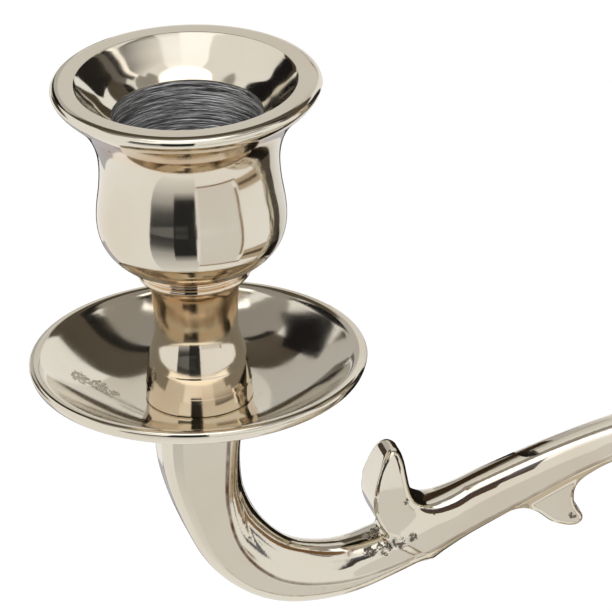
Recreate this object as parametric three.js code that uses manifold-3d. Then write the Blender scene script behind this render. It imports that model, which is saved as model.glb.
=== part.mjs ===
// Three-light candle stand: two cast scroll arms and a raised centre light on a turned stem.
// Millimetres, +Z up. The origin is on the stem's axis at the underside of the felt.
import * as THREE from 'three';
import { mergeVertices } from 'three/addons/utils/BufferGeometryUtils.js';
import Module from 'manifold-3d';

const wasm = await Module();
wasm.setup();

// Whole stand
const cupSpread = 105; // stem axis to the axis of each side light
const sideRimHeight = 205; // table to the rim of a side light
const centreRise = 45; // the centre rim stands this much higher

// Fits
const seatGap = 0.3; // between faces that rest on each other
const threadGap = 0.4; // radial, between a thread and its hole

// Candle cup, measured down from its rim
const candleR = 11.5;
const candleDepth = 25;
const mouthFlare = 5.6; // the funnel is this much wider than the bore at its top
const mouthDepth = 5.4;
const rimLand = 2.2; // flat ring round the funnel
const rimShoulder = 1.2; // how far the rounded rim stands out past the flat ring
const waistWall = 2.25;
const waistDepth = 14.5;
const bodyWall = 2.8;
const bodyRise = 8.7; // widest part of the body above the body's foot
const cupFloor = 5.2; // metal between the bore and the body's foot
const beadR = 8.4;
const beadHeight = 1.9;
const neckLength = 15.2;
const neckR = 6.3;
const flareR = 7.75;
const bandHeight = 3.1; // the plain band under the flare
const collarR = 8.4;
const collarHeight = 2.7;

// Drip pan
const panR = 25.85;
const panDepth = 6.9; // crest of the rim above the pan's floor
const panLand = 2.35; // width of the land round the rim
const panFloor = 1.6;
const panEdge = 2.1; // height of the outer edge
const panFootR = 6.6; // flat foot that sits on the arm

// Studs that hold the cups
const studR = 2.8;
const studInCup = 11;
const studGrip = 8; // length screwed into the arm

// Scroll arm, measured out from the cup's axis and down from the arm's top
const scrollDrop = 31.2; // centre line, from the arm's top to the bottom of the scroll
const archDrop = 15.6; // centre line, from the arm's top to the top of the arch
const hubDrop = 24.6; // centre line, from the arm's top to the hub's centre
const scrollEnd = 44.2; // where the scroll ends and the arch begins
const rootHalfDepth = 6.25; // half the depth in the plane of the scroll, under the pan
const archHalfDepth = 2.75; // the same at the arch
const endHalfDepth = 4.2; // the same at the hub
const rootHalfWidth = 5.2; // half the width across the plane of the scroll
const archHalfWidth = 3.4;
const endHalfWidth = 4.4;
const leafOut = 28; // leaf-shaped spur on top of the arm
const leafHeight = 17.6; // above the arm's centre line
const leafHalfWidth = 4;
const thornOut = 58; // small spur under the arm
const thornHeight = 10.4;
const thornHalfWidth = 3.1;
const spurEdge = 0.8; // size of the spurs' rounded edges
const tenonR = 3.8;
const tenonLength = 6;

// Hub and stem
const hubR = 11;
const hubHeight = 20;
const hubBandHeight = 15;
const rodR = 2.8;
const rodInColumn = 14;
const knopR = 13;
const knopHeight = 18;
const shaftR = 11.5;
const footHeight = 19.1;
const columnR = 9.5;

// Base
const baseR = 55;
const baseHeight = 29;
const baseTopR = 15;
const baseEdge = 4.2;
const baseWall = 3.6;
const feltThickness = 1.5;
const feltInset = 3;
const washerR = 8;
const washerThickness = 1.5;
const nutAcrossFlats = 10;
const nutHeight = 5;

// Set screws that hold the arms' tenons
const screwR = 1.7;
const screwLength = 3.4;
const screwSocket = 1.8; // across the flats of the hexagon
const screwSocketDepth = 1.4;

// Facets
const cupSides = 24;
const stemSides = 20;
const baseSides = 32;
const smallSides = 12;

// Sizes that follow from the ones above
const studHoleR = studR + threadGap;
const rodHoleR = rodR + threadGap;
const funnelR = candleR + mouthFlare;
const landR = funnelR + rimLand;
const rimR = landR + rimShoulder;
const waistR = candleR + waistWall;
const bodyR = candleR + bodyWall;
const bodyFoot = candleDepth + cupFloor;
const beadFoot = bodyFoot + beadHeight;
const flareDepth = beadFoot + neckLength;
const bandFoot = flareDepth + bandHeight;
const cupHeight = bandFoot + collarHeight;
const armTopDrop = cupHeight + seatGap + panFloor + seatGap; // rim down to the arm's top
const armTopZ = sideRimHeight - armTopDrop;
const hubZ = armTopZ - hubDrop;
const hubBottomZ = hubZ - hubHeight / 2;
const hubTopZ = hubZ + hubHeight / 2;
const columnBottomZ = hubTopZ + seatGap;
const columnTopZ = sideRimHeight + centreRise - armTopDrop;
const baseBottomZ = feltThickness + seatGap;
const baseTopZ = baseBottomZ + baseHeight;
const footBottomZ = baseTopZ + seatGap;
const knopBottomZ = footBottomZ + footHeight + seatGap;
const shaftBottomZ = knopBottomZ + knopHeight + seatGap;
const shaftHeight = hubBottomZ - seatGap - shaftBottomZ;

const nickel = { color: 0xcfc8b8, roughness: 0.12, metalness: 1 };
const zincSteel = { color: 0xa9abad, roughness: 0.4, metalness: 1 };
const felt = { color: 0x2e3b33, roughness: 0.95, metalness: 0 };

// Mesh code shared by the pieces

function closed(geometry) {
  geometry.deleteAttribute('normal');
  geometry.deleteAttribute('uv');
  const merged = mergeVertices(geometry, 1e-4);
  const index = merged.index.array;
  const kept = [];
  for (let i = 0; i < index.length; i += 3) {
    const [a, b, c] = [index[i], index[i + 1], index[i + 2]];
    if (a !== b && b !== c && c !== a) kept.push(a, b, c);
  }
  merged.setIndex(kept);
  if (signedVolume(merged) < 0) {
    kept.reverse();
    merged.setIndex(kept);
  }
  return merged;
}

function signedVolume(geometry) {
  const place = geometry.attributes.position;
  const index = geometry.index.array;
  const [a, b, c] = [new THREE.Vector3(), new THREE.Vector3(), new THREE.Vector3()];
  let sum = 0;
  for (let i = 0; i < index.length; i += 3) {
    a.fromBufferAttribute(place, index[i]);
    b.fromBufferAttribute(place, index[i + 1]);
    c.fromBufferAttribute(place, index[i + 2]);
    sum += a.dot(b.cross(c)) / 6;
  }
  return sum;
}

function solid(geometry) {
  const body = closed(geometry);
  return new wasm.Manifold(new wasm.Mesh({
    numProp: 3,
    vertProperties: new Float32Array(body.attributes.position.array),
    triVerts: new Uint32Array(body.index.array),
  }));
}

function geometryOf(manifold) {
  const mesh = manifold.getMesh();
  const geometry = new THREE.BufferGeometry();
  geometry.setAttribute('position', new THREE.BufferAttribute(mesh.vertProperties, 3));
  geometry.setIndex(new THREE.BufferAttribute(mesh.triVerts, 1));
  return geometry;
}

// A profile lists points with their radius along x and their height along y. It is turned about Z.
function turned(profile, sides) {
  return closed(new THREE.LatheGeometry(profile, sides).rotateX(Math.PI / 2));
}

function at(radius, height) {
  return new THREE.Vector2(radius, height);
}

// A smooth run of a profile through the given points.
function smooth(points, steps = 1) {
  return new THREE.SplineCurve(points).getPoints((points.length - 1) * steps);
}

// A plain round bar along Z, from one height to another.
function bar(radius, lowZ, highZ, sides = smallSides) {
  const geometry = new THREE.CylinderGeometry(radius, radius, highZ - lowZ, sides);
  return geometry.rotateX(Math.PI / 2).translate(0, 0, (lowZ + highZ) / 2);
}

function hexagon(acrossFlats) {
  const corners = [];
  for (let i = 0; i < 6; i += 1) {
    const angle = (i * Math.PI) / 3;
    corners.push(at(Math.cos(angle), Math.sin(angle)).multiplyScalar(acrossFlats / Math.sqrt(3)));
  }
  return new THREE.Shape(corners);
}

function add(parent, name, geometry, finish) {
  const mesh = new THREE.Mesh(geometry, new THREE.MeshStandardMaterial(finish));
  mesh.name = name;
  parent.add(mesh);
  return mesh;
}

// Candle cup, turned in one with its neck. Its rim is at height 0.

function cupGeometry() {
  const widest = bodyFoot - bodyRise;
  const holeTop = cupHeight - studInCup - seatGap;
  const profile = [
    at(0, -candleDepth),
    at(candleR, -candleDepth),
    at(candleR, -mouthDepth),
    at(candleR + mouthFlare * 0.53, -mouthDepth * 0.5),
    at(funnelR, -0.1),
    at(landR, 0),
    ...smooth([at(rimR - 0.4, -0.25), at(rimR, -0.75), at(rimR - 0.3, -1.5)]),
    ...smooth([
      at(rimR - 1.1, -2.6),
      at(rimR - 4, -6),
      at(waistR + 0.35, -waistDepth * 0.8),
      at(waistR, -waistDepth),
      at(bodyR - 0.15, -(widest - 2)),
      at(bodyR, -widest),
      at(bodyR - 0.3, -(bodyFoot - bodyRise * 0.7)),
      at(bodyR - 2, -(bodyFoot - bodyRise * 0.33)),
      at(beadR - 0.1, -bodyFoot),
    ]),
    at(beadR - 0.4, -(bodyFoot + 0.25)),
    ...smooth([at(beadR - 0.1, -(bodyFoot + beadHeight * 0.35)), at(beadR, -(beadFoot - 0.5))]),
    at(beadR - 0.4, -beadFoot),
    ...smooth([
      at(neckR + 0.7, -(beadFoot + 0.4)),
      at(neckR + 0.2, -(beadFoot + neckLength * 0.3)),
      at(neckR, -(beadFoot + neckLength * 0.55)),
      at(neckR + 0.35, -(beadFoot + neckLength * 0.77)),
      at(flareR, -flareDepth),
    ]),
    at(collarR - 0.45, -bandFoot),
    at(collarR - 0.1, -(bandFoot + 0.3)),
    at(collarR, -cupHeight),
    at(studHoleR, -cupHeight),
    at(studHoleR, -holeTop),
    at(0, -holeTop),
  ];
  return turned(profile, cupSides);
}

// Drip pan, dished, with a land round its rim. The cup's foot sits in its middle.

function panGeometry() {
  const floorZ = -(cupHeight + seatGap);
  const crestZ = floorZ + panDepth;
  const footZ = floorZ - panFloor;
  const dishR = collarR + 0.5;
  const dishSpan = panR - panLand - dishR;
  const dish = [0.82, 0.6, 0.38, 0.18].map((step) => (
    at(dishR + dishSpan * step, floorZ + (panDepth - 0.35) * step ** 1.7)
  ));
  const profile = [
    at(studHoleR, footZ),
    at(panFootR, footZ),
    at(panR * 0.5, footZ + panDepth * 0.31),
    at(panR * 0.85, footZ + panDepth * 0.75),
    ...smooth([
      at(panR - 0.5, crestZ - panEdge + 0.2),
      at(panR, crestZ - panEdge * 0.35),
      at(panR - 0.5, crestZ),
    ]),
    at(panR - panLand, crestZ - 0.35),
    ...dish,
    at(dishR, floorZ),
    at(studHoleR, floorZ),
    at(studHoleR, footZ),
  ];
  return turned(profile, cupSides);
}

function addLight(parent, side) {
  add(parent, `${side}_pan`, panGeometry(), nickel);
  add(parent, `${side}_cup`, cupGeometry(), nickel);
  const studTop = -(cupHeight - studInCup);
  add(parent, `${side}_stud`, closed(bar(studR, -(armTopDrop + studGrip), studTop)), zincSteel);
}

// Scroll arm. Its plane is XZ, with x from the cup's axis towards the stem and z from the arm's top.

const armReach = cupSpread - hubR; // to the face of the hub
const archSpan = armReach - scrollEnd;

// The arm's section is a slab with a small round on each outer edge and a large elliptical round on
// each inner edge. The outer round is a share of the half width. The inner round is given as a share
// of the half depth and a share of the half width.
function station(out, drop, halfDepth, halfWidth, outerShare, depthShare, widthShare) {
  return {
    place: new THREE.Vector3(out, 0, -drop),
    size: new THREE.Vector3(halfDepth, halfWidth, halfWidth * outerShare),
    rounds: new THREE.Vector3(halfDepth * depthShare, halfWidth * widthShare, 0),
  };
}

const armStations = [
  station(-0.3, 0, rootHalfDepth, rootHalfWidth, 0.62, 0.38, 0.5),
  station(-0.7, scrollDrop * 0.26, rootHalfDepth * 0.96, rootHalfWidth, 0.6, 0.43, 0.54),
  station(0.95, scrollDrop * 0.53, rootHalfDepth * 0.865, rootHalfWidth * 0.94, 0.53, 0.67, 0.69),
  station(4.75, scrollDrop * 0.78, rootHalfDepth * 0.85, rootHalfWidth * 0.88, 0.44, 0.89, 0.91),
  station(10.8, scrollDrop * 0.945, rootHalfDepth * 0.78, rootHalfWidth * 0.86, 0.34, 1, 0.95),
  station(19.5, scrollDrop, rootHalfDepth * 0.665, rootHalfWidth * 0.845, 0.32, 0.98, 0.95),
  station(leafOut, scrollDrop * 0.945, rootHalfDepth * 0.585, rootHalfWidth * 0.83, 0.32, 0.9, 0.93),
  station(scrollEnd, scrollDrop * 0.737, rootHalfDepth * 0.575, rootHalfWidth * 0.75, 0.34, 0.86, 0.93),
  station(scrollEnd + archSpan * 0.367, archDrop * 1.083, archHalfDepth, archHalfWidth, 0.38, 0.87, 0.97),
  station(scrollEnd + archSpan * 0.56, archDrop, archHalfDepth, archHalfWidth, 0.38, 0.8, 0.97),
  station(scrollEnd + archSpan * 0.74, archDrop * 1.103, archHalfDepth * 1.04, archHalfWidth, 0.38, 0.8, 0.97),
  station(armReach - archSpan * 0.12, archDrop * 1.32, archHalfDepth * 1.22, endHalfWidth * 0.86, 0.4, 0.78, 0.87),
  station(armReach, hubDrop, endHalfDepth, endHalfWidth, 0.45, 0.67, 0.73),
  station(armReach + 4, hubDrop + 3.2, endHalfDepth, endHalfWidth, 0.45, 0.67, 0.73),
];

// One section as a ring of points, with the same count for every size. Outwards is positive.
function sectionRing(size, rounds) {
  const [halfDepth, halfWidth, outerRound] = size;
  const ring = [];
  for (const [sideX, sideY, start] of [[1, 1, 0], [-1, 1, 1], [-1, -1, 2], [1, -1, 3]]) {
    const isOuter = sideX > 0;
    const steps = isOuter ? 2 : 3;
    const reachX = isOuter ? outerRound : rounds.x;
    const reachY = isOuter ? outerRound : rounds.y;
    for (let i = 0; i <= steps; i += 1) {
      const angle = ((start + i / steps) * Math.PI) / 2;
      ring.push(at(
        sideX * (halfDepth - reachX) + reachX * Math.cos(angle),
        sideY * (halfWidth - reachY) + reachY * Math.sin(angle),
      ));
    }
  }
  return ring;
}

// Rings square to the centre line, joined into one closed skin with flat ends.
function loft(stations, ringCount) {
  const route = new THREE.CatmullRomCurve3(stations.map((s) => s.place));
  const sizes = new THREE.CatmullRomCurve3(stations.map((s) => s.size));
  const rounds = new THREE.CatmullRomCurve3(stations.map((s) => s.rounds));
  const across = new THREE.Vector3(0, 1, 0);
  const places = [];
  let ringLength = 0;
  for (let i = 0; i <= ringCount; i += 1) {
    const middle = route.getPoint(i / ringCount);
    const along = route.getTangent(i / ringCount);
    const inPlane = new THREE.Vector3().crossVectors(across, along);
    const ring = sectionRing(sizes.getPoint(i / ringCount), rounds.getPoint(i / ringCount));
    ringLength = ring.length;
    for (const p of ring) {
      const corner = middle.clone().addScaledVector(inPlane, p.x).addScaledVector(across, p.y);
      places.push(corner.x, corner.y, corner.z);
    }
  }
  const faces = [];
  for (let i = 0; i < ringCount; i += 1) {
    for (let j = 0; j < ringLength; j += 1) {
      const next = (j + 1) % ringLength;
      const [a, b] = [i * ringLength + j, i * ringLength + next];
      const [c, d] = [a + ringLength, b + ringLength];
      faces.push(a, b, d, a, d, c);
    }
  }
  for (let j = 1; j < ringLength - 1; j += 1) {
    const last = ringCount * ringLength;
    faces.push(0, j + 1, j, last, last + j, last + j + 1);
  }
  const geometry = new THREE.BufferGeometry();
  geometry.setAttribute('position', new THREE.Float32BufferAttribute(places, 3));
  geometry.setIndex(faces);
  return geometry;
}

// A flat outline in the scroll's plane, given thickness and a small round edge.
function spur(outline, halfWidth) {
  const geometry = new THREE.ExtrudeGeometry(outline, {
    depth: 2 * (halfWidth - spurEdge),
    bevelEnabled: true,
    bevelThickness: spurEdge,
    bevelSize: spurEdge,
    bevelOffset: -spurEdge,
    bevelSegments: 1,
    curveSegments: 2,
  });
  return geometry.translate(0, 0, -(halfWidth - spurEdge)).rotateX(Math.PI / 2);
}

// A spur's outline, from places given as shares of its height: where it starts inside the arm, its
// first corner, the curve, and the last corner inside the arm.
function spurOutline(x, z, height, [start, corner, ...rest]) {
  const placed = ([out, up]) => at(x + out * height, z + up * height);
  const outline = new THREE.Shape();
  outline.moveTo(placed(start).x, placed(start).y);
  outline.lineTo(placed(corner).x, placed(corner).y);
  const last = placed(rest.pop());
  outline.splineThru(rest.map(placed));
  outline.lineTo(last.x, last.y);
  outline.lineTo(placed(start).x, placed(start).y);
  return outline;
}

// The leaf stands on the scroll's rising side: a sharp notch towards the cup, a long fillet behind.
function leafGeometry() {
  const outline = spurOutline(leafOut, -scrollDrop * 0.945, leafHeight, [
    [0.4, -0.06],
    [0.075, 0.125],
    [-0.035, 0.26],
    [-0.115, 0.45],
    [-0.11, 0.635],
    [-0.04, 0.845],
    [0.1, 1],
    [0.193, 0.9],
    [0.227, 0.653],
    [0.35, 0.426],
    [0.653, 0.34],
    [0.625, 0.17],
  ]);
  return spur(outline, leafHalfWidth);
}

// The thorn points down from the start of the arch, with a hollow on its stem side.
function thornGeometry() {
  const outline = spurOutline(thornOut, -archDrop * 1.244, thornHeight, [
    [-0.865, -0.19],
    [-0.894, -0.52],
    [-0.558, -0.683],
    [-0.298, -0.904],
    [0.01, -1],
    [0.154, -0.865],
    [0.03, -0.596],
    [0.087, -0.327],
    [0.404, -0.106],
    [0.72, 0.02],
    [0.385, 0.24],
  ]);
  return spur(outline, thornHalfWidth);
}

function armGeometry() {
  const stemX = cupSpread;
  const hubFace = bar(hubR + seatGap, -hubDrop - hubHeight, -hubDrop + hubHeight, stemSides * 2);
  hubFace.translate(stemX, 0, 0);
  const tenonTip = armReach + tenonLength;
  const tenon = bar(tenonR, armReach - 1.5, tenonTip).rotateY(Math.PI / 2);
  tenon.translate(0, 0, -hubDrop);
  const studHole = bar(studHoleR, -(studGrip + 1), 1);
  const arm = solid(loft(armStations, 32))
    .add(solid(leafGeometry()))
    .add(solid(thornGeometry()))
    .subtract(solid(hubFace))
    .add(solid(tenon))
    .subtract(solid(studHole));
  return geometryOf(arm);
}

// Set screw with a hexagon socket, lying across the tenon on the stand's rear side.

const screwPlace = hubR - tenonLength / 2 - 0.5;
const screwTip = tenonR + threadGap + seatGap;

function screwGeometry() {
  const socket = new THREE.ExtrudeGeometry(hexagon(screwSocket), {
    depth: screwSocketDepth + 1,
    bevelEnabled: false,
  });
  socket.translate(0, 0, screwTip + screwLength - screwSocketDepth);
  const screw = solid(bar(screwR, screwTip, screwTip + screwLength)).subtract(solid(socket));
  return geometryOf(screw).rotateX(-Math.PI / 2);
}

// Hub: a turned drum with a socket for each tenon and a hole for each set screw.

function hubGeometry() {
  const [low, high] = [-hubHeight / 2, hubHeight / 2];
  const band = hubBandHeight / 2;
  const profile = [
    at(rodHoleR, low),
    at(hubR - 3, low),
    at(hubR - 2, -(band + 1.2)),
    at(hubR - 0.9, -(band + 0.7)),
    at(hubR, -band),
    at(hubR, band),
    at(hubR - 0.9, band + 0.7),
    at(hubR - 2, band + 1.2),
    at(hubR - 3, high),
    at(rodHoleR, high),
    at(rodHoleR, low),
  ];
  let hub = solid(turned(profile, stemSides));
  const socketFloor = hubR - tenonLength - seatGap;
  for (const side of [-1, 1]) {
    const socket = bar(tenonR + seatGap, socketFloor, hubR + 1).rotateY((side * Math.PI) / 2);
    const screwHole = bar(screwR + seatGap, 0, hubR + 1).rotateX(-Math.PI / 2);
    screwHole.translate(side * screwPlace, 0, 0);
    hub = hub.subtract(solid(socket)).subtract(solid(screwHole));
  }
  return geometryOf(hub);
}

// Stem pieces, threaded on the tie rod like beads. Heights are from each piece's own foot.

function footGeometry() {
  const lip = baseTopR - 2;
  const throat = baseTopR - 8;
  return turned([
    at(rodHoleR, 0),
    ...smooth([at(lip, 0), at(lip + 1, 1.2), at(lip, 2.4)]),
    ...smooth([
      at(lip - 1.4, 2.7),
      at(throat + 1.6, footHeight * 0.42),
      at(throat, footHeight * 0.74),
      at(throat + 1.4, footHeight - 1.2),
    ], 2),
    at(throat + 1.4, footHeight),
    at(rodHoleR, footHeight),
    at(rodHoleR, 0),
  ], stemSides);
}

function knopGeometry() {
  const lip = 1.6;
  const lipR = knopR * 0.68;
  return turned([
    at(rodHoleR, 0),
    at(lipR, 0),
    ...smooth([
      at(lipR, lip),
      at(knopR * 0.93, knopHeight * 0.28),
      at(knopR, knopHeight * 0.5),
      at(knopR * 0.93, knopHeight * 0.72),
      at(lipR, knopHeight - lip),
    ], 2),
    at(lipR, knopHeight),
    at(rodHoleR, knopHeight),
    at(rodHoleR, 0),
  ], stemSides);
}

function shaftGeometry() {
  const topR = shaftR * 0.76;
  return turned([
    at(rodHoleR, 0),
    at(shaftR * 0.72, 0),
    at(shaftR * 0.72, 2),
    ...smooth([
      at(shaftR * 0.62, shaftHeight * 0.09),
      at(shaftR * 0.9, shaftHeight * 0.2),
      at(shaftR, shaftHeight * 0.33),
      at(shaftR * 0.78, shaftHeight * 0.56),
      at(shaftR * 0.57, shaftHeight * 0.8),
      at(shaftR * 0.62, shaftHeight * 0.92),
    ], 2),
    at(topR, shaftHeight * 0.95),
    at(topR, shaftHeight),
    at(rodHoleR, shaftHeight),
    at(rodHoleR, 0),
  ], stemSides);
}

function columnGeometry() {
  const height = columnTopZ - columnBottomZ;
  const studFloor = height - studGrip - 1;
  return turned([
    at(0, rodInColumn),
    at(rodHoleR, rodInColumn),
    at(rodHoleR, 0),
    at(columnR * 0.86, 0),
    at(columnR * 0.86, 1.8),
    ...smooth([
      at(columnR * 0.66, height * 0.07),
      at(columnR * 0.92, height * 0.17),
      at(columnR, height * 0.3),
      at(columnR * 0.76, height * 0.52),
      at(columnR * 0.56, height * 0.8),
      at(panFootR * 0.94, height - 1.5),
    ], 2),
    at(panFootR, height),
    at(studHoleR, height),
    at(studHoleR, studFloor),
    at(0, studFloor),
  ], stemSides);
}

// Base: a cast shell with a rolled edge, open underneath, with the nut up inside it.

const nutSeatZ = baseHeight * 0.55;

function baseGeometry() {
  return turned([
    at(rodHoleR, nutSeatZ),
    ...smooth([
      at(washerR + 4, nutSeatZ),
      at(baseTopR + 7, nutSeatZ * 0.72),
      at(baseR * 0.66, baseEdge + 1),
      at(baseR - baseWall - 3, baseEdge - 1.6),
    ]),
    at(baseR - baseWall - 1, 0),
    at(baseR - 1, 0),
    ...smooth([
      at(baseR - 0.3, baseEdge * 0.12),
      at(baseR, baseEdge * 0.5),
      at(baseR - 0.3, baseEdge * 0.88),
    ]),
    at(baseR - 1, baseEdge),
    at(baseR - 3, baseEdge + 0.6),
    ...smooth([
      at(baseR - 3, baseEdge + 1),
      at(baseR * 0.83, baseEdge + 3.4),
      at(baseR * 0.62, baseHeight * 0.36),
      at(baseR * 0.42, baseHeight * 0.6),
      at(baseTopR + 1.5, baseHeight - 3),
    ], 2),
    at(baseTopR, baseHeight - 2.2),
    at(baseTopR, baseHeight),
    at(rodHoleR, baseHeight),
    at(rodHoleR, nutSeatZ),
  ], baseSides);
}

function washerGeometry() {
  const ring = new THREE.Shape().absarc(0, 0, washerR, 0, 2 * Math.PI);
  ring.holes.push(new THREE.Path().absarc(0, 0, rodHoleR, 0, 2 * Math.PI));
  return closed(new THREE.ExtrudeGeometry(ring, { depth: washerThickness, bevelEnabled: false }));
}

function nutGeometry() {
  const outline = hexagon(nutAcrossFlats);
  outline.holes.push(new THREE.Path().absarc(0, 0, rodHoleR, 0, 2 * Math.PI));
  return closed(new THREE.ExtrudeGeometry(outline, { depth: nutHeight, bevelEnabled: false }));
}

// The stand put together

const stand = new THREE.Group();

const washerZ = baseBottomZ + nutSeatZ - seatGap - washerThickness;
const nutZ = washerZ - seatGap - nutHeight;
const rodFootZ = nutZ - 2;

add(stand, 'base_felt', closed(bar(baseR - feltInset, 0, feltThickness, baseSides)), felt);
add(stand, 'base_shell', baseGeometry(), nickel).position.z = baseBottomZ;
add(stand, 'base_washer', washerGeometry(), zincSteel).position.z = washerZ;
add(stand, 'base_nut', nutGeometry(), zincSteel).position.z = nutZ;
add(stand, 'tie_rod', closed(bar(rodR, rodFootZ, columnBottomZ + rodInColumn - seatGap)), zincSteel);
add(stand, 'stem_foot', footGeometry(), nickel).position.z = footBottomZ;
add(stand, 'stem_knop', knopGeometry(), nickel).position.z = knopBottomZ;
add(stand, 'stem_shaft', shaftGeometry(), nickel).position.z = shaftBottomZ;
add(stand, 'arm_hub', hubGeometry(), nickel).position.z = hubZ;
add(stand, 'stem_column', columnGeometry(), nickel).position.z = columnBottomZ;

// Each side is the same casting, turned half way round the stem for the right.
for (const [side, turn] of [['left', 0], ['right', Math.PI]]) {
  const half = new THREE.Group();
  half.rotation.z = turn;
  stand.add(half);
  add(half, `${side}_arm`, armGeometry(), nickel).position.set(-cupSpread, 0, armTopZ);
  const light = new THREE.Group();
  light.position.set(-cupSpread, 0, sideRimHeight);
  half.add(light);
  addLight(light, side);
}

for (const [side, direction] of [['left', -1], ['right', 1]]) {
  const screw = add(stand, `${side}_arm_screw`, screwGeometry(), zincSteel);
  screw.position.set(direction * screwPlace, 0, hubZ);
}

const centreLight = new THREE.Group();
centreLight.position.z = sideRimHeight + centreRise;
stand.add(centreLight);
addLight(centreLight, 'centre');

export default stand;
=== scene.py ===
"""Looks for the three-light candle stand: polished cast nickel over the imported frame."""

import math

import bmesh
import bpy
import numpy as np
from mathutils import Matrix, Vector, noise


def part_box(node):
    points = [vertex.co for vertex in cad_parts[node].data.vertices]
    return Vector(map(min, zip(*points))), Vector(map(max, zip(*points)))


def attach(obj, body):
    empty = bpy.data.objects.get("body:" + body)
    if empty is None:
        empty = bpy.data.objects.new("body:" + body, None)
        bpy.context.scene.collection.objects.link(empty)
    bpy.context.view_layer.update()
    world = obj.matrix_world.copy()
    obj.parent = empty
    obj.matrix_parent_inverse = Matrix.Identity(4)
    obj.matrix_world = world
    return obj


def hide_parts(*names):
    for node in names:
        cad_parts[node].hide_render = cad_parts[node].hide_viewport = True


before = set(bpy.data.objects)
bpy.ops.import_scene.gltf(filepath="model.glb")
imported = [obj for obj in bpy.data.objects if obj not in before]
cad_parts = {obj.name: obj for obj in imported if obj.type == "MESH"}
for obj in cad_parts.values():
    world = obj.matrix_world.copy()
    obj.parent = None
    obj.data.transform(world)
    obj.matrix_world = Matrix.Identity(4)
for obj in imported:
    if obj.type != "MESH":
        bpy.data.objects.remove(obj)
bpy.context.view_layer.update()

MM = 0.001

# Sizes in millimetres. Those that the frame has too are the same, unless a line says otherwise.

# Candle cup, measured down from its rim
CANDLE_R = 11.5
CANDLE_DEPTH = 25
MOUTH_DEPTH = 5.4
CUP_HEIGHT = 53.1
COLLAR_R = 8.4

# Drip pan
PAN_R = 25.85
PAN_DEPTH = 6.9
PAN_FLOOR = 1.6
PAN_FOOT_R = 6.6
PAN_LAND = 2.85  # 0.5 mm more than the frame's, for the roll of the rim
DISH_CURVE = 1.9  # the dish rises by this power of the way out

# Studs, the tie rod and their holes
SEAT_GAP = 0.3
STUD_R = 2.8
STUD_HOLE_R = 3.2
STUD_IN_CUP = 11
STUD_HOLE_DEPTH = 9
THREAD_PITCH = 1.0
THREAD_DEPTH = 0.42
ROD_HOLE_R = 3.2
ROD_HOLE_DEPTH = 14

# Scroll arm, measured out from the cup's axis and down from the arm's top
SCROLL_DROP = 31.2
ARCH_DROP = 15.6
HUB_DROP = 24.6
SCROLL_END = 44.2
ARM_REACH = 94
HUB_R = 11
TENON_R = 3.8
TENON_LENGTH = 6
TENON_SUNK = 1.5  # how far the tenon's round reaches back into the arm
ROOT_HALF_DEPTH = 6.25
ROOT_HALF_WIDTH = 5.2
ARCH_HALF_DEPTH = 2.75
ARCH_HALF_WIDTH = 3.4
END_HALF_DEPTH = 4.2
END_HALF_WIDTH = 4.4
LEAF_OUT = 28
LEAF_HEIGHT = 17.6
LEAF_HALF_WIDTH = 4.05  # 0.05 mm more than the frame's, before the leaf thins
THORN_OUT = 58
THORN_HEIGHT = 10.4
THORN_HALF_WIDTH = 3.1
THORN_EDGE = 1.1  # round of the thorn's edge
THORN_FILLET = 1.6  # where the thorn meets the arm
ARM_TOP_EDGE = 0.4
HUB_EDGE = 0.25
TENON_EDGE = 0.3
SEAM_TILT = 0.13  # the front below the seam falls back by this much for each millimetre
HAND_WAVE = 0.07  # how much the casting's sides wander
HAND_WAVE_LENGTH = 9.0

# Stem and base
BASE_R = 55
BASE_TOP_R = 15
BASE_EDGE = 4.2
BASE_WALL = 3.6
BASE_SEAT_R = 12
COLUMN_R = 9.5
SHAFT_R = 11.5
KNOP_R = 13


# Lines and meshes

def spline(points, steps):
    """A smooth line through the points, spaced by the root of their distance."""
    p = np.asarray(points, float)
    p = np.vstack([2 * p[0] - p[1], p, 2 * p[-1] - p[-2]])
    line = []
    for i in range(1, len(p) - 2):
        a, b, c, d = p[i - 1:i + 3]
        t0 = 0.0
        t1 = t0 + np.linalg.norm(b - a) ** 0.5
        t2 = t1 + np.linalg.norm(c - b) ** 0.5
        t3 = t2 + np.linalg.norm(d - c) ** 0.5
        for t in np.linspace(t1, t2, steps, endpoint=False):
            ab = a + (b - a) * (t - t0) / (t1 - t0)
            bc = b + (c - b) * (t - t1) / (t2 - t1)
            cd = c + (d - c) * (t - t2) / (t3 - t2)
            abc = ab + (bc - ab) * (t - t0) / (t2 - t0)
            bcd = bc + (cd - bc) * (t - t1) / (t3 - t1)
            line.append(abc + (bcd - abc) * (t - t1) / (t2 - t1))
    line.append(p[-2])
    return np.array(line)


def relaxed(line, passes):
    """The same line with its small kinks evened out, its ends kept."""
    line = np.array(line, float)
    for _ in range(passes):
        line[1:-1] = (line[:-2] + 2 * line[1:-1] + line[2:]) / 4
    return line


def run(points, steps, passes=3):
    """A smooth line through the points with its small kinks evened out."""
    return relaxed(spline(points, steps), passes)


def add_object(name, data):
    thing = bpy.data.objects.new(name, data)
    bpy.context.scene.collection.objects.link(thing)
    return thing


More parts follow.
